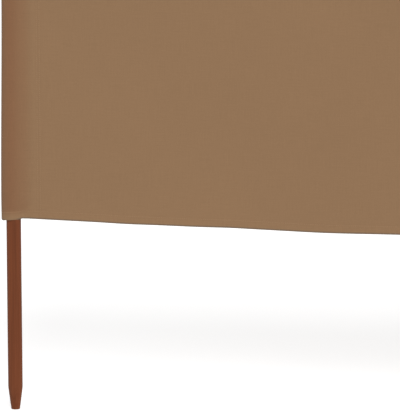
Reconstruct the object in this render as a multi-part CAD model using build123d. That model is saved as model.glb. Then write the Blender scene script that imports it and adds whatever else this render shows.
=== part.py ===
from build123d import *
import math
import os

# Beach windbreak: a long cloth in bays between round wooden posts, standing in a zigzag.
# The origin is the middle of the first post's flat tip, X runs along the row, the front
# of the cloth looks towards -Y and Z is up.

# The row
bay_count = 3
bay_length = 1333.0
fold_angle = 20.0
stake_length = 400.0
cloth_height = 800.0

# Posts
post_diameter = 30.0
tip_diameter = 18.0
taper_length = 46.0
tip_round = 2.0
top_round = 3.0

# Cloth
cloth_thickness = 1.0
bow_depth = 13.0
bottom_sag = 9.0
top_sag = 14.0
fit = 0.3

# Hems, folded to the back
hem_width = 20.0
hem_thickness = 1.2

# Pole pockets: the cloth in front of a post and a strip behind it, sewn together beside it
pocket_seam = 38.0
pocket_lap = 14.0
pocket_slack = 4.0
seam_round = 4.0

# End pockets, where the cloth turns round the post and is sewn to its own back
end_pocket_seam = 47.0
end_loop_reach = 6.0

# Closed ends, where a pocket is drawn together above its post and sewn shut
closed_end = 42.0
top_seam = 4.0

# Sizes that follow
post_radius = post_diameter / 2
wrap_radius = post_radius + fit
cloth_top = stake_length + cloth_height
post_top = cloth_top - closed_end

# The back face of a bay's cloth is an arc through the axes of both its posts
bow_radius = (bow_depth**2 + (bay_length / 2) ** 2) / (2 * bow_depth)
bow_angle = math.degrees(math.asin(bay_length / 2 / bow_radius))


def polar(centre, radius, angle):
    """The point at a distance and an angle from a centre."""
    return centre + Vector(radius, 0).rotate(Axis.Z, angle)


def sector(centre, radius, start, end):
    """An arc about a centre from one angle to another, either way round."""
    return CenterArc(centre, radius, start, end - start)


def strip(edges, thickness, side):
    """The face between a line of edges and the same line moved to one side."""
    return Face(Wire(edges).offset_2d(thickness, side=side, closed=True))


def upright(plan, bottom, top):
    """A plan raised between two levels."""
    return Pos(0, 0, bottom) * extrude(plan, top - bottom, dir=(0, 0, 1))


# Layout of the row
headings = [fold_angle if bay % 2 else -fold_angle for bay in range(bay_count)]
post_axes = [Vector(0, 0)]
for heading in headings:
    post_axes.append(polar(post_axes[-1], bay_length, heading))
bow_centres = []
for bay, heading in enumerate(headings):
    middle = (post_axes[bay] + post_axes[bay + 1]) / 2
    bow_centres.append(polar(middle, bow_radius - bow_depth, heading - 90))


def is_end(post):
    """Whether a post stands at an end of the row."""
    return post in (0, bay_count)


def seam_distance(post):
    """How far from a post's axis its pocket is sewn down."""
    return end_pocket_seam if is_end(post) else pocket_seam


def front_radius(post):
    """The inner radius of a pocket's front, slack where its bays fold towards the viewer."""
    folds_back = is_end(post) or headings[post - 1] < headings[post]
    return wrap_radius if folds_back else wrap_radius + pocket_slack


def back_radius(post):
    """The inner radius of a middle pocket's back, slack where its front is tight."""
    return 2 * wrap_radius + pocket_slack - front_radius(post)


class Seam:
    """The seam beside a post, to its right (side 1) or to its left (side -1)."""

    def __init__(self, post, side):
        self.side = side
        self.bay = post if side > 0 else post - 1
        self.axis = post_axes[post]
        turn = math.degrees((seam_distance(post) + seam_round) / bow_radius)
        self.angle = headings[self.bay] + 90 + side * (bow_angle - turn)
        self.backward = polar(Vector(0, 0), 1, self.angle)
        self.outward = polar(Vector(0, 0), 1, self.angle - side * 90)
        self.flat_start = polar(bow_centres[self.bay], bow_radius, self.angle)
        self.front = self.flat_start - self.outward * seam_round
        self.back = self.front + self.backward * fit
        self.lap_end = self.back + self.outward * pocket_lap

    def touch(self, point, centre, radius, face):
        """The angle at which a line from a point touches a circle's back (1) or front (-1)."""
        away = (point - centre) * self.side
        bearing = math.degrees(math.atan2(away.Y, away.X)) + 90 - 90 * self.side
        return bearing + face * self.side * math.degrees(math.acos(radius / away.length))


# Posts
def make_post():
    """A turned post with a blunt tapered tip and a rounded top."""
    outline = Polyline(
        (0, 0),
        (tip_diameter / 2, 0),
        (post_radius, taper_length),
        (post_radius, post_top),
        (0, post_top),
        close=True,
    )
    profile = make_face(outline)
    tip_corner = profile.vertices().sort_by_distance((tip_diameter / 2, 0))[0]
    profile = fillet(tip_corner, tip_round).face()
    top_corner = profile.vertices().sort_by_distance((post_radius, post_top))[0]
    profile = fillet(top_corner, top_round).face()
    return revolve(Plane.XZ * profile, Axis.Z)


# Pocket outlines
def crown(seam, point, radius, face):
    """Where the lines from both seams of a middle post to its pocket's curve would meet."""
    touch = seam.touch(point, seam.axis, radius, face)
    return seam.axis + Vector(0, radius / math.sin(math.radians(touch)))


def opposite(seam, point):
    """The mirror image of a point across the upright plane through a middle post."""
    return Vector(2 * seam.axis.X - point.X, point.Y)


def end_loop(seam):
    """(Centre, radius) of the cloth's turn round an end post, loose on its outer side."""
    distance = (seam.front - seam.axis).length
    growth = (distance + end_loop_reach) / distance
    return seam.front + (seam.axis - seam.front) * growth, wrap_radius * growth


def end_turn(seam, front_point, back_point, centre, radius):
    """The arc of that turn, from the cloth's front round the post to its back."""
    front = seam.touch(front_point, centre, radius, -1)
    back = seam.touch(back_point, centre, radius, 1)
    return sector(centre, radius, front, back - seam.side * 360)


def end_seam(post):
    """The one seam beside an end post."""
    return Seam(post, 1 if post == 0 else -1)


def seam_points(seam, grow):
    """A seam's points in front and behind, moved outward from the pocket's inner faces."""
    return seam.front - seam.backward * grow, seam.back + seam.backward * grow


def footprint(post, grow):
    """The plan that a pocket encloses, grown outward from its inner faces."""
    if is_end(post):
        seam = end_seam(post)
        front, back = seam_points(seam, grow)
        centre, radius = end_loop(seam)
        turn = end_turn(seam, front, back, centre, radius + grow)
        return make_face([Line(front, turn @ 0), turn, Line(turn @ 1, back), Line(back, front)])
    right = Seam(post, 1)
    front, back = seam_points(right, grow)
    lines = [Line(front, back), Line(opposite(right, front), opposite(right, back))]
    for point, face, inner in ((front, -1, front_radius(post)), (back, 1, back_radius(post))):
        radius = inner + grow
        peak = crown(right, point, radius, face)
        lines += FilletPolyline(opposite(right, point), peak, point, radius=radius).edges()
    return make_face(lines)


# Closed ends: two slopes from a post's top up to a straight seam over the pocket
def roof(post, grow, top):
    """The space under those slopes, grown outward from their undersides."""
    if is_end(post):
        seam = end_seam(post)
        backward = seam.backward
        front_foot = back_foot = end_loop(seam)[1] + fit
    else:
        seam = Seam(post, 1)
        backward = Vector(0, 1)
        front_foot = front_radius(post) + fit
        back_foot = back_radius(post) + fit
    ridge = (seam.front - seam.axis).dot(backward)
    outline = Polyline(
        (-front_foot - grow, post_top),
        (ridge - grow, top),
        (ridge + fit + grow, top),
        (back_foot + grow, post_top),
        close=True,
    )
    plane = Plane(origin=seam.axis, x_dir=backward, z_dir=backward.rotate(Axis.Z, -90))
    return extrude(plane * make_face(outline), bay_length, both=True)


def under_slopes(post):
    """The space that a closed end covers."""
    return roof(post, 0, cloth_top - top_seam)


def above_roof(post):
    """What is cut from the cloth round a post to make room for its closed end."""
    margin = cloth_thickness + 2 * fit
    return upright(footprint(post, margin), post_top, cloth_top) - under_slopes(post)


def closed_top(post):
    """The cloth that shuts a pocket over its post's top."""
    column = upright(footprint(post, cloth_thickness), post_top, cloth_top)
    return (column & roof(post, cloth_thickness, cloth_top)) - under_slopes(post)


# Panels
def panel_end(post, side):
    """The edges from the middle of a post's front out to the flat of the bay beside it."""
    seam = Seam(post, side)
    radius = front_radius(post)
    touch = seam.touch(seam.front, seam.axis, radius, -1)
    bend = FilletPolyline(
        polar(seam.axis, radius, touch),
        seam.front,
        seam.flat_start,
        radius=seam_round,
    )
    wrap = [] if is_end(post) else [sector(seam.axis, radius, 90 - side * 180, touch)]
    return wrap + list(bend.edges())


def reversed_line(edges):
    """The same edges in the opposite order and direction."""
    return [edge.reversed() for edge in edges[::-1]]


def lower_line(level):
    """A lower edge's sag from post to post."""
    middle = (bay_length / 2, level - bottom_sag)
    return ThreePointArc((0, level), middle, (bay_length, level))


def upper_line(bay, level):
    """An upper edge's sag between the closed ends on both sides of a bay."""
    start = seam_distance(bay)
    end = bay_length - seam_distance(bay + 1)
    return ThreePointArc((start, level), (bay_length / 2, level - top_sag), (end, level))


def seen_from_front(bay, lines):
    """The outline that lines enclose, drawn with the bay's left post at zero."""
    along = polar(Vector(0, 0), 1, headings[bay])
    plane = Plane(origin=post_axes[bay], x_dir=along, z_dir=along.rotate(Axis.Z, -90))
    return plane * make_face(lines)


def make_panel(bay):
    """One bay of cloth, from the front of one post to the front of the next."""
    left = panel_end(bay, 1)
    right = reversed_line(panel_end(bay + 1, -1))
    bow = sector(bow_centres[bay], bow_radius, Seam(bay, 1).angle, Seam(bay + 1, -1).angle)
    plan = strip([*left, bow, *right], cloth_thickness, Side.RIGHT)
    lower = lower_line(stake_length)
    upper = upper_line(bay, cloth_top)
    sides = []
    for end, beyond in ((0, -post_diameter), (1, bay_length + post_diameter)):
        sides += Polyline(
            lower @ end,
            (beyond, stake_length),
            (beyond, cloth_top),
            upper @ end,
        ).edges()
    outline = seen_from_front(bay, [lower, upper, *sides])
    body = upright(plan, 0, cloth_top) - above_roof(bay) - above_roof(bay + 1)
    return body & extrude(outline, bay_length, both=True)


# Hems
def make_hem(bay, lower, upper):
    """The folded band between two sagging lines, on the cloth's back between two laps."""
    past_lap = math.degrees((pocket_lap + fit - seam_round) / bow_radius)
    start = Seam(bay, 1).angle - past_lap
    end = Seam(bay + 1, -1).angle + past_lap
    line = sector(bow_centres[bay], bow_radius + fit, start, end)
    band = upright(strip([line], hem_thickness, Side.LEFT), 0, cloth_top)
    sides = [Line(lower @ 0, upper @ 0), Line(lower @ 1, upper @ 1)]
    outline = seen_from_front(bay, [lower, upper, *sides])
    return band & extrude(outline, bay_length, both=True)


# Pockets
def middle_pocket(post):
    """The strip behind a post between two bays, sewn to both of them."""
    left, right = Seam(post, -1), Seam(post, 1)
    radius = back_radius(post)
    line = FilletPolyline(
        left.lap_end,
        left.back,
        crown(right, right.back, radius, 1),
        right.back,
        right.lap_end,
        radius=[seam_round, radius, seam_round],
    )
    tube = strip(line.edges(), cloth_thickness, Side.LEFT)
    return upright(tube, stake_length, cloth_top) - above_roof(post)


def end_pocket(post):
    """The cloth that turns round an end post and is sewn to the panel's back."""
    seam = end_seam(post)
    turn = end_turn(seam, seam.front, seam.back, *end_loop(seam))
    touch = seam.touch(seam.front, seam.axis, wrap_radius, -1)
    start = polar(seam.axis, wrap_radius, touch)
    tail = FilletPolyline(turn @ 1, seam.back, seam.lap_end, radius=seam_round)
    side = Side.LEFT if seam.side > 0 else Side.RIGHT
    tube = strip([Line(start, turn @ 0), turn, *tail.edges()], cloth_thickness, side)
    return upright(tube, stake_length, cloth_top) - above_roof(post)


# Every piece under the name of its node
parts = {}
one_post = make_post()
for post, axis in enumerate(post_axes):
    parts[f"post_{post + 1}"] = Pos(axis) * one_post
    parts[f"pocket_{post + 1}"] = end_pocket(post) if is_end(post) else middle_pocket(post)
    parts[f"pocket_top_{post + 1}"] = closed_top(post)

for bay in range(bay_count):
    parts[f"panel_{bay + 1}"] = make_panel(bay)
    edges = lower_line(stake_length), lower_line(stake_length + hem_width)
    parts[f"bottom_hem_{bay + 1}"] = make_hem(bay, *edges)
    edges = upper_line(bay, cloth_top - hem_width), upper_line(bay, cloth_top)
    parts[f"top_hem_{bay + 1}"] = make_hem(bay, *edges)

os.makedirs("parts", exist_ok=True)
for name, shape in parts.items():
    export_step(shape, f"parts/{name}.step")
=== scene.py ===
import math

import bpy
import numpy as np
from mathutils import Matrix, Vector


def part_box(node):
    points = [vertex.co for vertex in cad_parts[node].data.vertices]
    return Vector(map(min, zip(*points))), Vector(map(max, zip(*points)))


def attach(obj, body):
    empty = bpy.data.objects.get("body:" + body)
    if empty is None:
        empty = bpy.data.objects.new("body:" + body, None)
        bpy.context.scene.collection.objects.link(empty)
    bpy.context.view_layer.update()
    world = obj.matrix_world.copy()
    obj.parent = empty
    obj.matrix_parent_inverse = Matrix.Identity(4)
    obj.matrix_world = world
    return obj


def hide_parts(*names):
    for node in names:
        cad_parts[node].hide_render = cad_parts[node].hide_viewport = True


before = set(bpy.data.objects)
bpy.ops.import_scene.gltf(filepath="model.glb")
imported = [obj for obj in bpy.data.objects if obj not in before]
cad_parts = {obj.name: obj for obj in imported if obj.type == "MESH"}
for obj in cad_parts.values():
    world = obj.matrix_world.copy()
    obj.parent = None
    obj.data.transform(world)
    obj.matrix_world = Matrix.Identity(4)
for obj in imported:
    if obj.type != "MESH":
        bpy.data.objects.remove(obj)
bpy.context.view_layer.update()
random = np.random.default_rng(11)

# Plans and heights are worked out in millimetres, and turned into metres in the meshes.
MM = 0.001

# The screen: posts, the bays between them, heights, and the depths of the bow and the sags
POSTS = range(4)
BAYS = range(3)
BAY = 1333.0
CLOTH_BOTTOM = 400.0
CLOTH_TOP = 1200.0
POST_TOP = 1158.0
BOW = 13.0
BOTTOM_SAG = 9.0
TOP_SAG = 14.0

# Pockets: how far the seams of a middle and of an end pocket lie from their post, the radius
# of tight cloth round a post, and what its slack side adds to that
SEAM = 38.0
END_SEAM = 47.0
WRAP = 16.5
SLACK = 4.0

# The columns of a lap, by their distance beyond the seam, and the stitches that hold it
LAP = (14.0, 11.5, 7.5, 3.5)
SEAM_STITCHES = (3.5, 9.0)

# The cloth's thickness, and how far behind the bow line its middle lies
THICK = 0.6
FRONT = -0.7

# Hems: their depth, their stitches, how far behind the cloth they lie, where the fold begins
HEM = 18.5
HEM_STITCH = 16.2
FOLD = 0.75
FOLD_START = 0.6


# Easing and lengths
def smooth(value, low, high):
    """0 up to low, 1 from high on, and eased between them."""
    t = np.clip((value - low) / (high - low), 0, 1)
    return t * t * (3 - 2 * t)


def hill(value, centre, width):
    """1 at the centre, falling to 0 on both sides."""
    return np.exp(-(((value - centre) / width) ** 2))


def inside(along, near, far):
    """0 beside a bay's posts, 1 in its middle, rising from near to far away from them."""
    return smooth(along, near, far) * (1 - smooth(along, BAY - far, BAY - near))


def blend(first, second, share):
    return first * (1 - share) + second * share


def steps_of(points):
    return np.linalg.norm(np.diff(points, axis=0), axis=1)


def length_of(points):
    return steps_of(points).sum()


def travelled(steps):
    """The distance from the start before each step, and after the last one."""
    return np.concatenate(([0], np.cumsum(steps)))


def sampled(points, places, wanted):
    """Points at the wanted places, where places are those of the points given."""
    return np.column_stack([np.interp(wanted, places, values) for values in points.T])


def resampled(points, shares):
    """Points at shares of a polyline's length."""
    places = travelled(steps_of(points))
    return sampled(points, places, shares * places[-1])


# Posts and bays
def post_axis(post):
    """The plan place of a post's axis, from its box in the frame."""
    low, high = (np.array(corner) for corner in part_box(f"post_{post + 1}"))
    return ((low + high) / 2)[:2] / MM


AXES = [post_axis(post) for post in POSTS]


def is_end(post):
    return post in (POSTS[0], POSTS[-1])


def seam_of(post):
    return END_SEAM if is_end(post) else SEAM


def unit_of(bay):
    """The plan direction of a bay, from its left post to its right one."""
    return (AXES[bay + 1] - AXES[bay]) / BAY


def inward(post):
    """The plan direction from an end post along its bay."""
    return unit_of(BAYS[0]) if post == POSTS[0] else -unit_of(BAYS[-1])


# What changes with height

# A pocket flattens from just under its post's top to just under the cloth's top: the two
# margins, the ease of its lines, and how far a middle pocket's seams move outward
FLAT_START = 1.0
FLAT_END = 5.0
FLAT_EASE = 0.09
FLAT_SPREAD = 4.0

# The heights above the lower edge between which the mouth lets go of the post
HUG_END = (5, 42)

# How far behind the bow line a lap lies, what the hems add, and where they add it
LAP_BEHIND = 0.2
LAP_OVER_HEM = 1.35
HEM_END = (18, 26)

# How far an end's loop stands off from its post, what the mouth adds, and up to where
LOOP_REACH = 2.6
MOUTH_REACH = 3.8
MOUTH_REACH_TOP = 900


def flatness(height):
    """0 round the post, 1 where the pocket's end is pressed flat."""
    t = np.clip((height - POST_TOP + FLAT_START) / (CLOTH_TOP - FLAT_END - POST_TOP), 0, 1)
    return t - FLAT_EASE * math.sin(2 * math.pi * t)


def hug(height):
    """1 at the mouth, where the hem draws the cloth in beside the post, 0 above it."""
    low, high = HUG_END
    return 1 - smooth(height, CLOTH_BOTTOM + low, CLOTH_BOTTOM + high)


def lap_offset(height):
    """How far behind the bow line a lap's middle lies, further out over the hems."""
    near, far = HEM_END
    over_hem = 1 - smooth(height, CLOTH_BOTTOM + near, CLOTH_BOTTOM + far)
    over_hem += smooth(height, CLOTH_TOP - far, CLOTH_TOP - near)
    return LAP_BEHIND + LAP_OVER_HEM * over_hem


def seam_at(post, height):
    """The seam's distance from its post, moved outward where a middle pocket is flat."""
    spread = 0.0 if is_end(post) else FLAT_SPREAD
    return seam_of(post) + spread * flatness(height)


def loop_reach(height):
    """How far the loose loop at an end stands off from its post, most at the mouth."""
    return LOOP_REACH + MOUTH_REACH * (1 - smooth(height, CLOTH_BOTTOM, MOUTH_REACH_TOP))


# Plan lines

# A mouth is drawn in to this distance from its post, and an end's mouth is wider than tight
# cloth by this share of its reach
DRAWN_IN = 27.0
MOUTH_WIDER = 0.3

# A flat middle pocket bends by this share of what its bays' directions give
BEND = 0.35

# The turn of a flat end loop takes this much of its width
LOOP_TURN = 2.5

# The points of a line's round part
ARC_POINTS = 48


def bay_point(bay, along, offset):
    """The plan point of a bay at a distance from its left post, and behind the bow line."""
    unit = unit_of(bay)
    back = np.array([-unit[1], unit[0]])
    share = np.asarray(along, float) / BAY
    slope = 4 * BOW / BAY * (1 - 2 * share)
    bow = 4 * BOW * share * (1 - share)
    normal = back - np.multiply.outer(slope, unit)
    normal /= np.linalg.norm(normal, axis=-1, keepdims=True)
    base = AXES[bay] + np.multiply.outer(share * BAY, unit) + np.multiply.outer(bow, back)
    return base + normal * np.asarray(offset, float)[..., None]


def beside(post, side, distance, offset):
    """The plan point at a distance to the right (side 1) or left (side -1) of a post."""
    if side > 0:
        return bay_point(post, distance, offset)
    return bay_point(post - 1, BAY - distance, offset)


def seam_point(post, side, height, offset):
    return beside(post, side, seam_at(post, height), offset)


def around(start, end, centre, radius):
    """A line from start onto a circle, round it anticlockwise, and off it to end."""

    def touch(point, sign):
        away = point - centre
        return math.atan2(away[1], away[0]) + sign * math.acos(radius / np.hypot(*away))

    first, last = touch(start, 1), touch(end, -1)
    last += math.tau * math.ceil((first - last) / math.tau)
    angles = np.linspace(first, last, ARC_POINTS)
    arc = centre + radius * np.column_stack([np.cos(angles), np.sin(angles)])
    return np.vstack([start, arc, end])


def front_radius(post):
    """The zigzag leaves the slack in front of one middle post and behind the other."""
    return WRAP if post == 1 else WRAP + SLACK


def back_radius(post):
    return 2 * WRAP + SLACK - front_radius(post)


def pocket_line(post, height, shares, face):
    """The plan line of a middle pocket's front (face -1) or back (face 1), anticlockwise."""
    offset = FRONT if face < 0 else lap_offset(height)
    radius = front_radius(post) if face < 0 else back_radius(post)
    start = seam_point(post, face, height, offset)
    end = seam_point(post, -face, height, offset)
    tube = resampled(around(start, end, AXES[post], radius), shares)
    if face < 0:
        near = [beside(post, side, DRAWN_IN, offset) for side in (-1, 1)]
        close = np.vstack([start, around(near[0], near[1], AXES[post], WRAP), end])
        tube = blend(tube, resampled(close, shares), hug(height))

    # Above the post it lies flat, with a blunt corner between its two bays
    along = bay_point(post, 60.0, offset) - bay_point(post, 20.0, offset)
    right = end if face < 0 else start
    corner = right - along * (right[0] - AXES[post][0]) / along[0]
    corner = BEND * corner + (1 - BEND) * (start + end) / 2
    flat = resampled(np.vstack([start, corner, end]), shares)
    return blend(tube, flat, flatness(height))


def loop_line(post, height, shares):
    """The plan line of an end loop, from its first seam round the post to its last."""
    side = 1 if post == POSTS[0] else -1
    front = seam_point(post, side, height, FRONT)
    back = seam_point(post, side, height, lap_offset(height))
    start, end = (back, front) if side > 0 else (front, back)
    reach = loop_reach(height)

    # The loose tube stands off from the post's outer side
    away = AXES[post] - front
    outward = away / np.linalg.norm(away)
    grow = 1 + reach / np.linalg.norm(away)
    loose = around(start, end, front + away * grow, WRAP * grow)

    # At the mouth it is drawn in beside the post
    near = [beside(post, side, DRAWN_IN, offset) for offset in (lap_offset(height), FRONT)]
    first, last = near if side > 0 else near[::-1]
    away = AXES[post] - near[1]
    centre = near[1] + away * (1 + reach / np.linalg.norm(away))
    close = np.vstack([start, around(first, last, centre, WRAP + reach * MOUTH_WIDER), end])
    tube = blend(resampled(loose, shares), resampled(close, shares), hug(height))

    # Above the post it lies flat and turns in a small fold
    width = length_of(loose) / 2 - LOOP_TURN
    radius = (lap_offset(height) - FRONT) / 2
    middle = (start + end) / 2 + outward * width
    across = (start - end) / np.linalg.norm(start - end)
    turn = np.linspace(0, math.pi, 9)[:, None]
    fold = middle + radius * (np.cos(turn) * across + np.sin(turn) * outward)
    flat = resampled(np.vstack([start, fold, end]), shares)
    return blend(tube, flat, flatness(height))


# Rows of the cloth
def spaced(low, high, step):
    count = max(1, round((high - low) / step))
    return list(np.linspace(low, high, count + 1)[1:])


def front_heights():
    """Heights of the front layer's rows, close together at the hems and at the posts' tops."""
    rows = [FOLD_START, 2.0, 4.0, 7.0, 10.5, 13.5, HEM_STITCH, HEM, 21.0, 25.0, 30.0, 36.0, 44.0, 54.0]
    rows = [CLOTH_BOTTOM + h for h in rows]
    rows += spaced(rows[-1], 1110.0, 15.5)
    rows += [1122.0, 1132.0, 1141.0, 1148.0, 1154.0]
    rows += spaced(rows[-1], 1178.0, 4.0)
    top = [21.0, HEM, HEM_STITCH, 13.5, 10.5, 7.0, 4.0, 2.0, FOLD_START]
    return rows + [CLOTH_TOP - h for h in top]


def sheet_rows():
    """Rows (height, depth) from the lower hem's raw edge, round both folds, to the upper's."""
    hem = [HEM, HEM_STITCH, 12.5, 9.0, 6.0, 3.0, 1.6]
    angles = [math.radians(a) for a in (180, 135, 90, 45)]
    radius = FOLD / 2
    fold = [(-radius * math.sin(a), radius - radius * math.cos(a)) for a in angles]
    rows = [(CLOTH_BOTTOM + h, FOLD) for h in hem]
    rows += [(CLOTH_BOTTOM + FOLD_START + rise, depth) for rise, depth in fold]
    rows += [(h, 0.0) for h in front_heights()]
    rows += [(CLOTH_TOP - FOLD_START - rise, depth) for rise, depth in fold[::-1]]
    rows += [(CLOTH_TOP - h, FOLD) for h in hem[::-1]]
    return rows


ROWS = sheet_rows()
HEIGHTS = np.array([row[0] for row in ROWS])
DEPTHS = np.array([row[1] for row in ROWS])
CLIMB = np.hypot(np.diff(HEIGHTS), np.diff(DEPTHS))
TO_EDGE = np.minimum(HEIGHTS - CLOTH_BOTTOM, CLOTH_TOP - HEIGHTS)
FRONT_ROWS = [i for i, row in enumerate(ROWS) if row[1] == 0.0]


def row_at(height, depth):
    """The row nearest to a height in the front layer (depth 0) or in a hem."""
    gap = np.abs(HEIGHTS - height) + 100 * np.abs(DEPTHS - depth)
    return int(np.argmin(gap))


MIDDLE_ROW = row_at(800, 0)


# Edges, with bumps of (place along the bay, rise, width)
LOWER_BUMPS = [
    [(235, -0.85, 45), (447, 0.95, 45), (650, -1.75, 100), (1040, 0.8, 90), (1210, -0.5, 50)],
    [(180, 0.8, 60), (420, -0.9, 90), (760, 1.2, 80), (1080, -0.8, 80)],
    [(260, -0.9, 80), (560, 1.0, 70), (900, -0.8, 90), (1150, 0.7, 60)],
]
UPPER_BUMPS = [
    [(150, -1.6, 50), (420, 1.0, 90), (800, -1.2, 110), (1180, -1.4, 50)],
    [(140, -1.4, 50), (520, 1.2, 100), (960, -1.0, 90), (1200, -1.5, 50)],
    [(130, -1.5, 50), (610, 1.1, 110), (940, 0.9, 80), (1190, -1.6, 50)],
]

# In a mouth a bump's place is a share of its line, at an end counted from the back seam
END_MOUTH = [
    (0.30, -1.2, 0.14),
    (0.566, -3.2, 0.05),
    (0.664, -2.2, 0.08),
    (0.776, -1.2, 0.047),
    (0.832, 0.8, 0.02),
]
MIDDLE_MOUTH = [(0.5, -1.8, 0.2)]

# The outer top corner of a flat end loop drops by this much
CORNER_DROP = 2.5


def ripple(along, bumps):
    return sum(rise * hill(along, place, width) for place, rise, width in bumps)


def sag_at(along):
    """The lower edge's drop at a distance from a post."""
    share = np.clip(along / BAY, 0, 1)
    return BOTTOM_SAG * 4 * share * (1 - share)


def lower_edge(bay, along):
    bumps = inside(along, 30, 120) * ripple(along, LOWER_BUMPS[bay])
    return CLOTH_BOTTOM - sag_at(along) + bumps


def upper_edge(bay, along):
    first, last = seam_of(bay), BAY - seam_of(bay + 1)
    share = np.clip((along - first) / (last - first), 0, 1)
    bumps = inside(along, 40, 110) * ripple(along, UPPER_BUMPS[bay])
    return CLOTH_TOP - TOP_SAG * 4 * share * (1 - share) + bumps


# Columns
END_COLUMNS = 66
MIDDLE_COLUMNS = 37
STRIP_COLUMNS = 33

# How fast a seam's shift fades in the bay beside it
GIVE_WAY = 90


class Column:
    """One column of the cloth: flat in a bay, wrapped round a post, or a lap."""

    def __init__(self, kind, bay=None, along=None, post=None, share=None):
        self.kind = kind
        self.bay = bay
        self.along = along
        self.post = post
        self.share = share

    def from_back(self):
        """The share of an end loop's line, counted from its back seam."""
        return self.share if self.post == POSTS[0] else 1 - self.share


def picked(columns, kind, bay=None, post=None):
    """The places of the columns of a kind, in one bay or at one post."""
    chosen = [i for i, c in enumerate(columns) if c.kind == kind]
    chosen = [i for i in chosen if bay in (None, columns[i].bay)]
    return [i for i in chosen if post in (None, columns[i].post)]


def graded(length, first, most, growth):
    """Positions from 0 to length, close together at both ends."""
    steps, reach, step = [0.0], 0.0, first
    while reach + step < length / 2:
        reach += step
        steps.append(reach)
        step = min(most, step * growth)
    half = np.array(steps)
    if length / 2 - half[-1] < 0.4 * step:
        half = half[:-1]
    return np.concatenate([half, [length / 2], (length - half)[::-1]])


def main_columns():
    """The cloth's columns, from the lap behind the first bay to the one behind the last."""
    columns = [Column("lap", BAYS[0], END_SEAM + d, post=POSTS[0]) for d in LAP]
    for post in POSTS:
        shares = np.linspace(0, 1, END_COLUMNS if is_end(post) else MIDDLE_COLUMNS)
        columns += [Column("wrap", post=post, share=share) for share in shares]
        if post < POSTS[-1]:
            first, last = seam_of(post), BAY - seam_of(post + 1)
            for step in graded(last - first, first=3.5, most=16.0, growth=1.22)[1:-1]:
                columns.append(Column("flat", post, first + step))
    columns += [Column("lap", BAYS[-1], BAY - END_SEAM - d, post=POSTS[-1]) for d in LAP[::-1]]
    return columns


def strip_columns(post):
    """The columns of the strip behind a middle post, from its right lap to its left."""
    shares = np.linspace(0, 1, STRIP_COLUMNS)
    columns = [Column("lap", post, SEAM + d, post=post) for d in LAP]
    columns += [Column("wrap", post=post, share=share) for share in shares]
    return columns + [Column("lap", post - 1, BAY - SEAM - d, post=post) for d in LAP[::-1]]


def plan_of(columns, height):
    """The plan line of the whole cloth at a height."""
    line = np.zeros((len(columns), 2))
    for post in POSTS:
        chosen = picked(columns, "wrap", post=post)
        shares = np.array([columns[i].share for i in chosen])
        if is_end(post):
            line[chosen] = loop_line(post, height, shares)
        else:
            line[chosen] = pocket_line(post, height, shares, -1)

    # Where a seam moves outward, the bay's columns beside it give way
    for bay in BAYS:
        chosen = picked(columns, "flat", bay=bay)
        along = np.array([columns[i].along for i in chosen])
        left = seam_at(bay, height) - seam_of(bay)
        right = seam_at(bay + 1, height) - seam_of(bay + 1)
        moved = along + left * np.exp(-(along - seam_of(bay)) / GIVE_WAY)
        moved -= right * np.exp(-(BAY - seam_of(bay + 1) - along) / GIVE_WAY)
        line[chosen] = bay_point(bay, moved, FRONT)
    for i in picked(columns, "lap"):
        line[i] = bay_point(columns[i].bay, columns[i].along, lap_offset(height))
    return line


def strip_plan(columns, height):
    """The plan line of a strip behind a middle post at a height."""
    post = columns[0].post
    moved = seam_at(post, height) - SEAM
    laps = []
    for i in picked(columns, "lap"):
        c = columns[i]
        along = c.along + moved if c.bay == post else c.along - moved
        laps.append(bay_point(c.bay, along, lap_offset(height)))
    shares = np.array([columns[i].share for i in picked(columns, "wrap")])
    wrap = pocket_line(post, height, shares, 1)
    return np.vstack([laps[:len(LAP)], wrap, laps[len(LAP):]])


def gap_of(column, point):
    """A pocket point's distance from its post's axis, under 0 beyond an end post."""
    if is_end(column.post):
        return (point - AXES[column.post]) @ inward(column.post)
    return abs(point[0] - AXES[column.post][0])


def levels_of(columns, mouth):
    """Each column's lower and upper edge, where mouth is the plan line at the mouths."""
    lower, upper = [], []
    for c, point in zip(columns, mouth):
        if c.kind != "wrap":
            lower.append(float(lower_edge(c.bay, c.along)))
            upper.append(float(upper_edge(c.bay, c.along)))
            continue
        share, bumps, drop = c.share, MIDDLE_MOUTH, 0.0
        if is_end(c.post):
            share, bumps = c.from_back(), END_MOUTH
            drop = CORNER_DROP * hill(share, 0.5, 0.06)
        lower.append(CLOTH_BOTTOM - sag_at(gap_of(c, point)) + ripple(share, bumps))
        upper.append(CLOTH_TOP - drop)
    return np.array(lower), np.array(upper)


# Slack in the cloth: waves of (size, radians a millimetre along and up, phase)
WAVES = [
    (random.uniform(0.8, 1.0) * size, math.tau / length_x, math.tau / length_z, phase)
    for size, length_x, length_z, phase in zip(
        (0.55, 0.5, 0.4, 0.35, 0.3, 0.22),
        (760.0, 430.0, -310.0, 260.0, -205.0, 150.0),
        (1500.0, 900.0, 1200.0, -700.0, 620.0, 480.0),
        random.uniform(0, math.tau, 6),
    )
]

# The shift of all waves from one bay to the next
BAY_PHASE = 2.1

# The waves' size in the first bay's lower half, and what its upper half adds
CALM = 0.55
LIVELIER = 0.6

# Folds that fan out from the closed ends: their height, how many, and their reach
FAN_SIZE = 1.5
FAN_FOLDS = 7.0
FAN_REACH = 150


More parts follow.
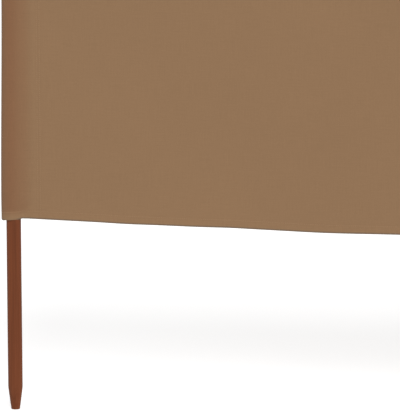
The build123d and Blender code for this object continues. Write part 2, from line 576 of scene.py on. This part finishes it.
def slack(bay, along, height):
    """How far the cloth of a bay stands off its taut surface, towards the back."""
    turn = bay * BAY_PHASE
    wave = sum(
        size * np.sin(kx * along + kz * height + phase + turn) for size, kx, kz, phase in WAVES
    )
    lively = 1.0 if bay else CALM + LIVELIER * smooth(height, 820, 1000)
    wave = wave * lively * inside(along, 40, 190)
    for corner, post in ((seam_of(bay), bay), (BAY - seam_of(bay + 1), bay + 1)):
        dx, dz = np.abs(along - corner), CLOTH_TOP + 6 - height
        away = np.hypot(dx, dz)
        angle = np.arctan2(dz, dx + 1e-6)
        fan = FAN_SIZE * np.sin(FAN_FOLDS * angle + 0.9 * post + 0.6 * np.sin(away / 60))
        fan = fan * smooth(away, 12, 60) * np.exp(-away / FAN_REACH)
        wave = wave + fan * smooth(dz, 8, 45)
    return wave


# Pieces from meshes
def add_object(name, data):
    thing = bpy.data.objects.new(name, data)
    bpy.context.scene.collection.objects.link(thing)
    return thing


def add_piece(name, points, faces):
    """A smooth-shaded piece from points in millimetres."""
    mesh = bpy.data.meshes.new(name)
    mesh.from_pydata((np.asarray(points) * MM).tolist(), [], faces)
    mesh.shade_smooth()
    return add_object(name, mesh)


def add_values(piece, name, values):
    """One value a point, for the piece's material."""
    data = piece.data.attributes.new(name, "FLOAT", "POINT").data
    data.foreach_set("value", values.astype(np.float32))


def solid_sheet(name, grid, normal, thickness):
    """A closed piece from a grid of points, with half the thickness to each side."""
    rows, count = grid.shape[:2]
    outer = grid + normal * thickness / 2
    inner = grid - normal * thickness / 2
    points = np.concatenate([outer.reshape(-1, 3), inner.reshape(-1, 3)])
    index = np.arange(rows * count).reshape(rows, count)
    a, b = index[:-1, :-1].ravel(), index[:-1, 1:].ravel()
    c, d = index[1:, 1:].ravel(), index[1:, :-1].ravel()
    total = rows * count
    faces = [np.column_stack([a, b, c, d]), np.column_stack([d, c, b, a]) + total]
    for rim in (index[0], index[:, -1], index[-1, ::-1], index[::-1, 0]):
        p, q = rim[:-1], rim[1:]
        faces.append(np.column_stack([q, p, p + total, q + total]))
    return add_piece(name, points, np.concatenate(faces).tolist())


def add_weave_map(piece, u, v):
    """The place of each point on the flat cloth, in metres."""
    mesh = piece.data
    corners = np.zeros(len(mesh.loops), dtype=np.int32)
    mesh.loops.foreach_get("vertex_index", corners)
    uv = np.column_stack([np.tile(u.ravel(), 2), np.tile(v.ravel(), 2)]) * MM
    layer = mesh.uv_layers.new(name="weave")
    layer.data.foreach_set("uv", uv[corners].astype(np.float32).ravel())


# The sheets

# Between these heights the lower edge's shape gives way to the upper edge's
EDGE_FADE = (440, 1160)

# The distance from a post that columns outside the pockets are given
FAR = 999.0

# Shares of painted light (paler) and painted shade (darker) on the cloth
HEM_PAINTED_LIGHT = 0.022
BEYOND_POST_PAINTED_LIGHT = 0.05
CREASE_PAINTED_SHADE = 0.035
TURN_PAINTED_SHADE = 0.24
MOUTH_PAINTED_LIGHT = 0.08
MOUTH_PAINTED_SHADE = 0.05

# How much painted shade, in the stake's colour, lies over a pocket where less light comes through the
# cloth, what is added over the stake, and what the part above the stake loses
POCKET_PAINTED_SHADE = 0.21
STAKE_PAINTED_SHADE = 0.22
EMPTY_LOSES = 0.75

# How much weaker the painted shade along an edge is where the stake is behind it
EDGE_PAINTED_SHADE_LOSES = 0.75


def relaxed(line, fixed, passes=2):
    """A plan line with its corners rounded, apart from the points that are fixed."""
    for _ in range(passes):
        middle = (line[:-2] + line[2:]) / 2
        moved = line[1:-1] + 0.5 * (middle - line[1:-1])
        line[1:-1] = np.where(fixed[1:-1, None], line[1:-1], moved)
    return line


def raised(columns, plan):
    """(Points, plan normals) of a sheet whose plan line is given by its height."""
    lower, upper = levels_of(columns, plan(columns, CLOTH_BOTTOM))
    fixed = np.zeros(len(columns), bool)
    fixed[[0, -1]] = True
    grid = np.zeros((len(ROWS), len(columns), 3))
    outward = np.zeros_like(grid)
    for r, height in enumerate(HEIGHTS):
        line = relaxed(plan(columns, height), fixed)
        along = np.gradient(line, axis=0)
        along /= np.linalg.norm(along, axis=1, keepdims=True)
        share = smooth(height, *EDGE_FADE)
        low, high = lower - CLOTH_BOTTOM, upper - CLOTH_TOP
        grid[r, :, :2] = line
        grid[r, :, 2] = height + low * (1 - share) + high * share
        outward[r, :, 0], outward[r, :, 1] = along[:, 1], -along[:, 0]
    return grid, outward


def normals_of(grid):
    """The unit normals of a grid of points, from its rows and columns."""
    across = np.empty_like(grid)
    up = np.empty_like(grid)
    across[:, 1:-1] = grid[:, 2:] - grid[:, :-2]
    across[:, 0] = grid[:, 1] - grid[:, 0]
    across[:, -1] = grid[:, -1] - grid[:, -2]
    up[1:-1] = grid[2:] - grid[:-2]
    up[0] = grid[1] - grid[0]
    up[-1] = grid[-1] - grid[-2]
    normal = np.cross(across, up)
    return normal / np.maximum(np.linalg.norm(normal, axis=2, keepdims=True), 1e-9)


def painted_shading_of(columns, gap):
    """Painted light and shade, 1 on plain cloth, by height and by the distance from the post's axis.
    """
    # Hems are doubled, and painted light makes them a little paler
    by_row = 1 + HEM_PAINTED_LIGHT * (1 - smooth(TO_EDGE, HEM - 4, HEM + 2))

    # Above the mouth an end pocket has painted light beyond its post and painted shade where it turns
    # back, and every pocket has painted shade in the crease before its seam
    seam = np.array([seam_of(c.post) if c.kind == "wrap" else END_SEAM for c in columns])
    across = 1 + BEYOND_POST_PAINTED_LIGHT * smooth(-gap, 10, 18)
    across -= CREASE_PAINTED_SHADE * hill(gap, 0.83 * seam, 0.16 * seam)
    for i in picked(columns, "wrap"):
        if is_end(columns[i].post):
            across[i] -= TURN_PAINTED_SHADE * hill(columns[i].from_back(), 0.525, 0.05)
    above_mouth = smooth(HEIGHTS, CLOTH_BOTTOM + 6, CLOTH_BOTTOM + 30)
    pattern_and_painted_shading = 1 + np.outer(above_mouth, across - 1)

    # The mouth has painted light beside the post and painted shade over it
    pattern_and_painted_shading += np.outer(hill(HEIGHTS, CLOTH_BOTTOM + 20, 10), MOUTH_PAINTED_LIGHT * hill(gap, 35, 9))
    below = 1 - smooth(HEIGHTS, CLOTH_BOTTOM + 12, CLOTH_BOTTOM + 22)
    pattern_and_painted_shading -= np.outer(below, MOUTH_PAINTED_SHADE * hill(gap, -6, 9))
    return by_row[:, None] * pattern_and_painted_shading


def painted_stake_shade(columns, gap):
    """Painted shade in the stake's colour, where less light comes through the cloth: most over it,
    less over the rest of its pocket.
    """
    reach = np.array([seam_of(c.post) if c.kind == "wrap" else SEAM for c in columns])
    away = np.abs(gap)
    across = POCKET_PAINTED_SHADE * (1 - smooth(away, reach - 23, reach - 3))
    across += STAKE_PAINTED_SHADE * hill(away, 0, 16)
    above_mouth = smooth(HEIGHTS, CLOTH_BOTTOM + 4, CLOTH_BOTTOM + 26)
    below_end = 1 - EMPTY_LOSES * smooth(HEIGHTS, POST_TOP - 4, POST_TOP + 10)
    return np.outer(above_mouth * below_end, across)


def seam_mask(columns):
    """1 on the stitched columns beside the posts, fading out to both sides."""
    mask = np.zeros(len(columns))
    for i, c in enumerate(columns):
        if c.kind == "lap":
            mask[i] = 1.0
        elif c.kind == "flat":
            near = min(c.along - seam_of(c.bay), BAY - seam_of(c.bay + 1) - c.along)
            mask[i] = 1 - float(smooth(near, 11, 34))
        else:
            share = min(c.share, 1 - c.share)
            mask[i] = 1 - float(smooth(share, 0.02, 0.16))
    return mask


def make_sheet(name, columns, plan):
    """(Piece, points, normals) of a hemmed sheet."""
    grid, outward = raised(columns, plan)
    for bay in BAYS:
        chosen = picked(columns, "flat", bay=bay)
        if chosen:
            along, height = np.meshgrid([columns[i].along for i in chosen], HEIGHTS)
            grid[:, chosen] -= outward[:, chosen] * slack(bay, along, height)[..., None]
    gap = np.full(len(columns), FAR)
    for i in picked(columns, "wrap"):
        gap[i] = gap_of(columns[i], grid[MIDDLE_ROW, i, :2])
    grid = grid - outward * DEPTHS[:, None, None]
    normal = normals_of(grid)
    piece = solid_sheet(name, grid, normal, THICK)
    u, v = np.meshgrid(travelled(steps_of(grid[MIDDLE_ROW])), travelled(CLIMB))
    add_weave_map(piece, u, v)

    off_stake = smooth(np.abs(gap), 8, 14)
    # Painted shade along the cloth's upper and lower edges
    rim = np.outer(1 - smooth(TO_EDGE, 2.2, 4.0), 1 - EDGE_PAINTED_SHADE_LOSES * (1 - off_stake))
    # Painted light and shade for the cloth's colour, and masks for its puckers
    values = {
        "pattern_and_painted_shading": painted_shading_of(columns, gap),
        "seam": np.outer(np.ones(len(ROWS)), seam_mask(columns)),
        "hem": np.outer(1 - smooth(TO_EDGE, 17, 40), np.ones(len(columns))),
        "stake": painted_stake_shade(columns, gap),
        "rim": rim,
    }
    for key, value in values.items():
        add_values(piece, key, np.tile(value.ravel(), 2))
    return piece, grid, normal


# Materials
CLOTH = (0.3005, 0.1775, 0.0928)
# Painted shade where a stake is behind the cloth
CLOTH_PAINTED_SHADE_OVER_STAKE = (0.185, 0.056, 0.022)
# Painted shade along the cloth's edges
CLOTH_EDGE_PAINTED_SHADE = (0.205, 0.137, 0.086)
SEWING_THREAD = (0.39, 0.232, 0.124)
WOOD = (0.2224, 0.0647, 0.0253)
WOOD_DARK = (0.1517, 0.0449, 0.018)
WOOD_PALE = (0.2768, 0.0919, 0.0394)

# In metres: a woven thread's width, and the depths of the reliefs
WOVEN_THREAD = 0.00055
PUCKER_DEPTH = 0.0011
WEAVE_DEPTH = 0.00012
SLUB_DEPTH = 0.00010
TWIST_DEPTH = 0.0001
GRAIN_DEPTH = 0.00010


class Nodes:
    """A material's node tree, with short ways to add to it."""

    def __init__(self, name):
        self.material = bpy.data.materials.new(name)
        self.material.use_nodes = True
        self.tree = self.material.node_tree
        self.shader = self.tree.nodes["Principled BSDF"]

    def add(self, kind, inputs=(), **settings):
        node = self.tree.nodes.new("ShaderNode" + kind)
        for key, value in settings.items():
            setattr(node, key, value)
        for key, value in dict(inputs).items():
            self.put(value, node.inputs[key])
        return node

    def put(self, value, socket):
        if isinstance(value, bpy.types.NodeSocket):
            self.tree.links.new(value, socket)
        else:
            socket.default_value = value

    def surface(self, **inputs):
        """Fill the shader's sockets: a number directly, and a node's output by a link."""
        for key, value in inputs.items():
            self.put(value, self.shader.inputs[key.replace("_", " ")])

    def math(self, operation, a, b=0.0, c=0.0):
        node = self.add("Math", {0: a, 1: b, 2: c}, operation=operation)
        return node.outputs[0]

    def ramp(self, value, low, high, out_low, out_high):
        inputs = {0: value, 1: low, 2: high, 3: out_low, 4: out_high}
        return self.add("MapRange", inputs).outputs[0]

    def attribute(self, name):
        return self.add("Attribute", attribute_name=name).outputs["Fac"]

    def noise(self, vector, scale, detail=2.0, rough=0.5):
        inputs = {"Vector": vector, "Scale": scale, "Detail": detail, "Roughness": rough}
        return self.add("TexNoise", inputs).outputs["Fac"]

    def stretched(self, vector, x, y, z):
        inputs = {0: vector, 1: (x, y, z)}
        return self.add("VectorMath", inputs, operation="MULTIPLY").outputs[0]

    def mix(self, factor, a, b, blend_type="MIX"):
        node = self.add("Mix", data_type="RGBA", blend_type=blend_type, clamp_factor=True)
        self.put(factor, node.inputs["Factor"])
        self.put(a, node.inputs[6])
        self.put(b, node.inputs[7])
        return node.outputs[2]

    def grey(self, value):
        return self.add("CombineColor", {0: value, 1: value, 2: value}).outputs[0]

    def bump(self, height, distance, strength=1.0, normal=None):
        inputs = {"Height": height, "Distance": distance, "Strength": strength}
        node = self.add("Bump", inputs)
        if normal is not None:
            self.put(normal, node.inputs["Normal"])
        return node.outputs[0]


def cloth_material(name, colour, stake_shade_colour, rim):
    """Plain-woven cloth: thread relief, slubs, faint mottling, puckers at hems and seams, and light
    and shade painted from the mesh.
    """
    n = Nodes(name)
    uv = n.add("UVMap", uv_map="weave").outputs[0]
    split = n.add("SeparateXYZ", {0: uv})
    warp = n.math("SINE", n.math("MULTIPLY", split.outputs[0], math.pi / WOVEN_THREAD))
    weft = n.math("SINE", n.math("MULTIPLY", split.outputs[1], math.pi / WOVEN_THREAD))
    on_top = n.math("GREATER_THAN", n.math("MULTIPLY", warp, weft), 0.0)
    under = n.math("SUBTRACT", 1.0, on_top)
    relief = n.math(
        "ADD",
        n.math("MULTIPLY", n.math("ABSOLUTE", warp), on_top),
        n.math("MULTIPLY", n.math("ABSOLUTE", weft), under),
    )
    slub_up = n.noise(n.stretched(uv, 900, 22, 1), 1.0)
    slub_across = n.noise(n.stretched(uv, 22, 900, 1), 1.0)
    slub = n.math("ADD", slub_up, slub_across)

    # Each pattern makes the cloth a few percent darker and paler
    pattern_and_painted_shading = n.ramp(slub, 0.7, 1.3, 0.955, 1.045)
    for pattern, low, high, dark, pale in (
        (n.noise(uv, 3.0, 3.0), 0.3, 0.7, 0.985, 1.015),
        (n.noise(uv, 240.0, 2.0), 0.3, 0.7, 0.98, 1.02),
        (on_top, 0.0, 1.0, 0.985, 1.015),
        (relief, 0.0, 1.0, 0.95, 1.02),
    ):
        pattern_and_painted_shading = n.math("MULTIPLY", pattern_and_painted_shading, n.ramp(pattern, low, high, dark, pale))
    # Painted light and painted shade, from the mesh
    pattern_and_painted_shading = n.math("MULTIPLY", pattern_and_painted_shading, n.attribute("pattern_and_painted_shading"))
    # Painted shade over the stakes
    seen = n.mix(n.attribute("stake"), (*colour, 1), (*stake_shade_colour, 1))
    # Painted shade along the edges
    seen = n.mix(n.attribute("rim"), seen, (*rim, 1))
    seam_pucker = n.math("MULTIPLY", n.noise(n.stretched(uv, 30, 125, 1), 1.0), n.attribute("seam"))
    hem_pucker = n.math("MULTIPLY", n.noise(n.stretched(uv, 110, 26, 1), 1.0), n.attribute("hem"))
    drape = n.bump(n.math("ADD", seam_pucker, hem_pucker), PUCKER_DEPTH, 0.5)
    weave = n.bump(relief, WEAVE_DEPTH, 0.5, drape)
    n.surface(
        Base_Color=n.mix(1.0, seen, n.grey(pattern_and_painted_shading), "MULTIPLY"),
        Roughness=0.88,
        Specular_IOR_Level=0.22,
        Sheen_Weight=0.05,
        Sheen_Roughness=0.45,
        Normal=n.bump(slub, SLUB_DEPTH, 0.4, weave),
    )
    return n.material


def thread_material(name, colour):
    """Twisted sewing thread."""
    n = Nodes(name)
    place = n.add("TexCoord").outputs["Object"]
    twist = n.noise(place, 2600.0, 1.0)
    shade = n.grey(n.ramp(twist, 0.3, 0.7, 0.86, 1.12))
    n.surface(
        Base_Color=n.mix(1.0, (*colour, 1), shade, "MULTIPLY"),
        Roughness=0.7,
        Sheen_Weight=0.05,
        Normal=n.bump(twist, TWIST_DEPTH, 0.4),
    )
    return n.material


def wood_material(name, colour, dark, pale):
    """Oiled hardwood with its grain along the stake, pores, streaks and a scuffed tip."""
    n = Nodes(name)
    place = n.add("TexCoord").outputs["Object"]
    shift = n.attribute("shift")
    offset = n.add("CombineXYZ", {0: shift, 1: shift, 2: shift}).outputs[0]
    moved = n.add("VectorMath", {0: place, 1: offset}, operation="ADD").outputs[0]
    wander = n.noise(n.stretched(moved, 14, 14, 1.4), 1.0, 2.0)
    growth = n.noise(n.stretched(moved, 120, 120, 2.6), 1.0, 3.0, 0.6)
    streak = n.noise(n.stretched(moved, 420, 420, 5.0), 1.0, 3.0, 0.6)
    pores = n.noise(n.stretched(moved, 1500, 1500, 38.0), 1.0, 2.0, 0.7)
    pore = n.ramp(pores, 0.30, 0.42, 1.0, 0.0)
    scuff = n.noise(n.stretched(moved, 260, 260, 90), 1.0, 3.0, 0.7)
    worn = n.math("MULTIPLY", n.ramp(scuff, 0.5, 0.66, 0.0, 1.0), n.attribute("wear"))
    base = n.mix(n.ramp(growth, 0.32, 0.7, 0.0, 1.0), (*dark, 1), (*colour, 1))
    base = n.mix(n.ramp(streak, 0.5, 0.78, 0.0, 0.5), base, (*pale, 1))
    base = n.mix(n.math("MULTIPLY", pore, 0.45), base, (*dark, 1))
    base = n.mix(1.0, base, n.grey(n.ramp(wander, 0.3, 0.7, 0.93, 1.07)), "MULTIPLY")
    base = n.mix(n.math("MULTIPLY", worn, 0.35), base, (*pale, 1))
    relief = n.math("SUBTRACT", streak, n.math("MULTIPLY", pore, 0.6))
    n.surface(
        Base_Color=base,
        Roughness=n.ramp(streak, 0.3, 0.7, 0.5, 0.66),
        Specular_IOR_Level=0.1,
        Normal=n.bump(relief, GRAIN_DEPTH, 0.5),
    )
    return n.material


# Stakes, in rings of points
STAKE_SIDES = 56

# What keeps a stake from being quite true: (size, waves round it, millimetres up a radian)
OUT_OF_TRUE = ((0.06, 2, 300), (0.04, 3, -140), (0.035, 5, 60))
DENT_WIDTH = 0.16
DENT_HEIGHT = 2.2


def stake_profile():
    """(Radius, height) pairs from the tip's middle to the top's middle."""
    tip, body, taper = 9.0, 15.0, 46.0

    # The tip's worn rim, and its taper
    line = [(0.0, 0.0), (4.0, 0.0), (8.2, 0.0), (8.8, 0.15), (9.15, 0.6), (9.3, 1.4)]
    for height in np.linspace(3.0, taper - 5, 15):
        line.append((tip + (body - tip) * height / taper, height))

    # The rounded edge where the taper ends
    edge, slope = 3.5, 0.13
    for turn in np.linspace(-1, 1, 7):
        inset = slope * (edge * (1 - turn)) * (1 - turn) / 4
        line.append((body - inset - 0.05, taper + edge * turn))

    # The bare stake, and the part inside the pocket with its rounded top
    for height in np.linspace(taper + 8, CLOTH_BOTTOM - 4, 34):
        line.append((body, height))
    for height in np.linspace(CLOTH_BOTTOM + 10, POST_TOP - 3.2, 44):
        line.append((body - 0.1, height))
    for turn in np.linspace(0, math.pi / 2, 6):
        line.append((11.9 + 3 * math.cos(turn), POST_TOP - 3.1 + 3 * math.sin(turn)))
    return line + [(radius, POST_TOP - 0.1) for radius in (8.0, 4.0, 0.0)]


def make_stake(post):
    """A turned stake, not quite true, with a few dents at its tip."""
    angles = np.arange(STAKE_SIDES) * math.tau / STAKE_SIDES
    phases = random.uniform(0, math.tau, 8)[:len(OUT_OF_TRUE)]
    dents = [
        (random.uniform(0, math.tau), random.uniform(1, 9), random.uniform(0.2, 0.5))
        for _ in range(7)
    ]
    profile = stake_profile()
    points, rings = [(0.0, 0.0, 0.0)], []
    for radius, height in profile[1:-1]:
        wave = np.zeros(STAKE_SIDES)
        for (size, count, rise), phase in zip(OUT_OF_TRUE, phases):
            wave += size * np.sin(count * angles + phase + height / rise)
        if radius > 7:
            for at, level, deep in dents:
                turn = (angles - at + math.pi) % math.tau - math.pi
                near = (turn / DENT_WIDTH) ** 2 + ((height - level) / DENT_HEIGHT) ** 2
                wave -= deep * np.exp(-near)
        ring = radius + wave * min(1.0, radius / 9)
        rings.append(len(points))
        points += [(r * math.cos(a), r * math.sin(a), height) for r, a in zip(ring, angles)]
    points.append((0.0, 0.0, profile[-1][1]))
    faces = []
    for i in range(STAKE_SIDES):
        j = (i + 1) % STAKE_SIDES
        faces.append((0, rings[0] + j, rings[0] + i))
        faces += [(low + i, low + j, high + j, high + i) for low, high in zip(rings, rings[1:])]
        faces.append((rings[-1] + i, rings[-1] + j, len(points) - 1))
    stake = add_piece(f"stake_{post + 1}", points, faces)
    stake.location = (*(AXES[post] * MM), 0)

    # Wear at the tip and at the pocket's mouth, and another piece of grain for each stake
    heights = np.array(points)[:, 2]
    wear = np.exp(-heights / 40) + 0.35 * hill(heights, CLOTH_BOTTOM - 4, 8)
    add_values(stake, "wear", wear)
    add_values(stake, "shift", np.full(len(points), 0.37 * post + 0.11))
    return stake


# Stitches: from one to the next, their length, and (share of it, radius, lift) of each ring
PITCH = 4.3
STITCH = 3.2
STITCH_SIDES = 5
RINGS = ((0.0, 0.10, -0.12), (0.22, 0.27, 0.16), (0.78, 0.27, 0.16), (1.0, 0.10, -0.12))


def stitched(name, lines):
    """Raised stitches along lines of (points, normals), each dipping into the cloth."""
    turns = np.arange(STITCH_SIDES) * math.tau / STITCH_SIDES
    points, faces = [], []
    for line, normals in lines:
        places = travelled(steps_of(line))
        starts = np.arange(PITCH * 0.4, places[-1] - STITCH, PITCH)
        wanted = np.column_stack([starts + STITCH * ring[0] for ring in RINGS]).ravel()
        centres = sampled(line, places, wanted).reshape(-1, len(RINGS), 3)
        ups = sampled(normals, places, wanted).reshape(-1, len(RINGS), 3)
        for centre, up in zip(centres, ups):
            side = np.cross(centre[-1] - centre[0], up[0])
            side /= np.linalg.norm(side)
            base = len(points)
            for (_, radius, lift), c, u in zip(RINGS, centre, up):
                for turn in turns:
                    raised_by = lift + radius * math.cos(turn)
                    points.append(c + u * raised_by + side * radius * math.sin(turn))
            for low in range(base, base + (len(RINGS) - 1) * STITCH_SIDES, STITCH_SIDES):
                high = low + STITCH_SIDES
                for i in range(STITCH_SIDES):
                    j = (i + 1) % STITCH_SIDES
                    faces.append((low + i, low + j, high + j, high + i))
            last = base + (len(RINGS) - 1) * STITCH_SIDES
            faces.append(tuple(base + i for i in range(STITCH_SIDES))[::-1])
            faces.append(tuple(last + i for i in range(STITCH_SIDES)))
    return add_piece(name, points, faces)


def on_cloth(points, normals):
    """A stitch line on the outer face of the cloth."""
    return points + normals * THICK / 2, normals


def upright(columns, values, kind, bay, along):
    """The line up a grid at a distance along a bay, in its flat cloth or in its laps."""
    chosen = sorted(picked(columns, kind, bay=bay), key=lambda i: columns[i].along)
    places = np.array([columns[i].along for i in chosen])
    k = int(np.clip(np.searchsorted(places, along), 1, len(places) - 1))
    share = (along - places[k - 1]) / (places[k] - places[k - 1])
    return blend(values[:, chosen[k - 1]], values[:, chosen[k]], share)


# The object
cloth_look = cloth_material("taupe_weave", CLOTH, CLOTH_PAINTED_SHADE_OVER_STAKE, CLOTH_EDGE_PAINTED_SHADE)
thread_look = thread_material("taupe_thread", SEWING_THREAD)
wood_look = wood_material("oiled_hardwood", WOOD, WOOD_DARK, WOOD_PALE)

for post in POSTS:
    stake = make_stake(post)
    stake.data.materials.append(wood_look)
    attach(stake, "root")
    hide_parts(f"post_{post + 1}")

columns = main_columns()
cloth, grid, normal = make_sheet("cloth", columns, plan_of)
strips = []
for post in (1, 2):
    own = strip_columns(post)
    strips.append((own, *make_sheet(f"pocket_strip_{post + 1}", own, strip_plan)))

# Stitch lines along both hems, on the cloth's front and on the hem
hem_lines = []
for height in (CLOTH_BOTTOM + HEM_STITCH, CLOTH_TOP - HEM_STITCH):
    for depth in (0.0, FOLD):
        row = row_at(height, depth)
        between_laps = slice(len(LAP), len(columns) - len(LAP))
        hem_lines.append(on_cloth(grid[row, between_laps], normal[row, between_laps]))

# Stitch lines down both sides of every pocket, on the front and on the lap behind it
seam_lines = []
tall = slice(FRONT_ROWS[1], FRONT_ROWS[-2])
for post in POSTS:
    for side in (-1, 1):
        bay = post if side > 0 else post - 1
        if bay not in BAYS:
            continue
        own, _, back, back_normal = (columns, cloth, grid, normal)
        if not is_end(post):
            own, _, back, back_normal = strips[post - 1]
        for step in SEAM_STITCHES:
            along = seam_of(post) + step
            along = along if side > 0 else BAY - along
            line = upright(columns, grid, "flat", bay, along)
            out = upright(columns, normal, "flat", bay, along)
            seam_lines.append(on_cloth(line[tall], out[tall]))
            line = upright(own, back, "lap", bay, along)
            out = upright(own, back_normal, "lap", bay, along)
            seam_lines.append(on_cloth(line[tall], out[tall]))

# Stitch lines across the closed ends, which leave the turn of an end loop free
closing = row_at(CLOTH_TOP - 4.0, 0.0)
for post in POSTS:
    sheets = [(columns, cloth, grid, normal)]
    if not is_end(post):
        sheets.append(strips[post - 1])
    for own, _, points, out in sheets:
        chosen = picked(own, "wrap", post=post)
        half = len(chosen) // 2
        runs = [chosen[:half - 3], chosen[half + 3:]] if is_end(post) else [chosen]
        for run in runs:
            seam_lines.append(on_cloth(points[closing, run], out[closing, run]))
hem_stitches = stitched("hem_stitches", hem_lines)
seam_stitches = stitched("seam_stitches", seam_lines)

for piece in (hem_stitches, seam_stitches):
    piece.data.materials.append(thread_look)
strip_pieces = [piece for _, piece, *_ in strips]
for piece in (cloth, *strip_pieces):
    piece.data.materials.append(cloth_look)
for piece in (cloth, *strip_pieces, hem_stitches, seam_stitches):
    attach(piece, "root")
replaced = [f"panel_{k}" for k in (1, 2, 3)] + [f"pocket_{k}" for k in (1, 4)]
replaced += [f"pocket_top_{k}" for k in (1, 2, 3, 4)]
replaced += [f"{edge}_hem_{k}" for edge in ("bottom", "top") for k in (1, 2, 3)]
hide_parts(*replaced)
for post, piece in zip((2, 3), strip_pieces):
    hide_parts(f"pocket_{post}")

height = float(CLIMB.sum()) * MM

# The studio: strengths of the surrounding light and of a soft sun with its width in degrees,
# and what lifts the floor to white for the camera
AMBIENT = 0.55
KEY = 1.45
KEY_WIDTH = 30
KEY_DISTANCE = 6
FLOOR_LIFT = 0.5
FLOOR_REACH = 400.0


def floor_material():
    """A pale floor that shows white to the camera and keeps the shadow."""
    n = Nodes("floor")
    paper = n.noise(n.add("TexCoord").outputs["Object"], 4.0)
    path = n.add("LightPath")
    seen = n.math("MAXIMUM", path.outputs["Is Camera Ray"], path.outputs["Is Glossy Ray"])
    seen = n.math("MAXIMUM", seen, path.outputs["Is Transmission Ray"])
    n.surface(
        Base_Color=n.grey(n.ramp(paper, 0.3, 0.7, 0.855, 0.865)),
        Roughness=1.0,
        Specular_IOR_Level=0.0,
        Emission_Color=(1, 1, 1, 1),
        Emission_Strength=n.math("MULTIPLY", seen, FLOOR_LIFT),
    )
    return n.material


def add_floor():
    r = FLOOR_REACH
    mesh = bpy.data.meshes.new("floor")
    corners = [(-r, -r, 0), (r, -r, 0), (r, r, 0), (-r, r, 0)]
    mesh.from_pydata(corners, [], [(0, 1, 2, 3)])
    floor = add_object("floor", mesh)
    floor.data.materials.append(floor_material())


def set_world():
    """White to the camera and in reflections, and an even light on the object."""
    world = bpy.data.worlds.new("studio")
    bpy.context.scene.world = world
    world.use_nodes = True
    tree = world.node_tree
    tree.nodes.clear()
    path = tree.nodes.new("ShaderNodeLightPath")
    seen = path.outputs["Is Camera Ray"]
    for kind in ("Is Glossy Ray", "Is Transmission Ray"):
        node = tree.nodes.new("ShaderNodeMath")
        node.operation = "MAXIMUM"
        tree.links.new(seen, node.inputs[0])
        tree.links.new(path.outputs[kind], node.inputs[1])
        seen = node.outputs[0]
    mix = tree.nodes.new("ShaderNodeMixShader")
    tree.links.new(seen, mix.inputs[0])
    for socket, strength in ((mix.inputs[1], AMBIENT), (mix.inputs[2], 1.0)):
        light = tree.nodes.new("ShaderNodeBackground")
        light.inputs["Color"].default_value = (1, 1, 1, 1)
        light.inputs["Strength"].default_value = strength
        tree.links.new(light.outputs[0], socket)
    out = tree.nodes.new("ShaderNodeOutputWorld")
    tree.links.new(mix.outputs[0], out.inputs["Surface"])


def place(thing, at, right, up, back):
    """Put a lamp or a camera at a point, turned so that its axes lie as given."""
    turn = Matrix(np.column_stack([right, up, back]).tolist()).to_4x4()
    thing.matrix_world = Matrix.Translation(at.tolist()) @ turn


def add_key(azimuth, elevation):
    """A soft sun, azimuth degrees to the right of the front."""
    data = bpy.data.lights.new("key", "SUN")
    data.energy = KEY
    data.angle = math.radians(KEY_WIDTH)
    a, e = math.radians(azimuth), math.radians(elevation)
    toward = np.array([math.sin(a) * math.cos(e), -math.cos(a) * math.cos(e), math.sin(e)])
    side = np.cross((0, 0, 1), toward)
    side /= np.linalg.norm(side)
    up = np.cross(toward, side)
    place(add_object("key", data), toward * KEY_DISTANCE, side, up, toward)


def add_camera(azimuth, pitch, distance, across, height, lens):
    """A camera that looks down by pitch at a point across to the right, and height up."""
    data = bpy.data.cameras.new("camera")
    data.sensor_fit = "HORIZONTAL"
    data.sensor_width = 36
    data.lens = lens
    data.clip_start = 0.05
    data.clip_end = 1000
    camera = add_object("camera", data)
    a, p = math.radians(azimuth), math.radians(pitch)
    forward = np.array([math.sin(a) * math.cos(p), math.cos(a) * math.cos(p), -math.sin(p)])
    right = np.array([math.cos(a), -math.sin(a), 0.0])
    target = right * across + np.array([0, 0, height])
    place(camera, target - forward * distance, right, np.cross(right, forward), -forward)
    bpy.context.scene.camera = camera


add_floor()
set_world()
add_key(azimuth=5, elevation=38)
add_camera(
    azimuth=8.96, pitch=10.26, distance=6.52235, across=0.38006, height=0.42538, lens=288
)
bpy.context.scene.view_settings.view_transform = "Standard"
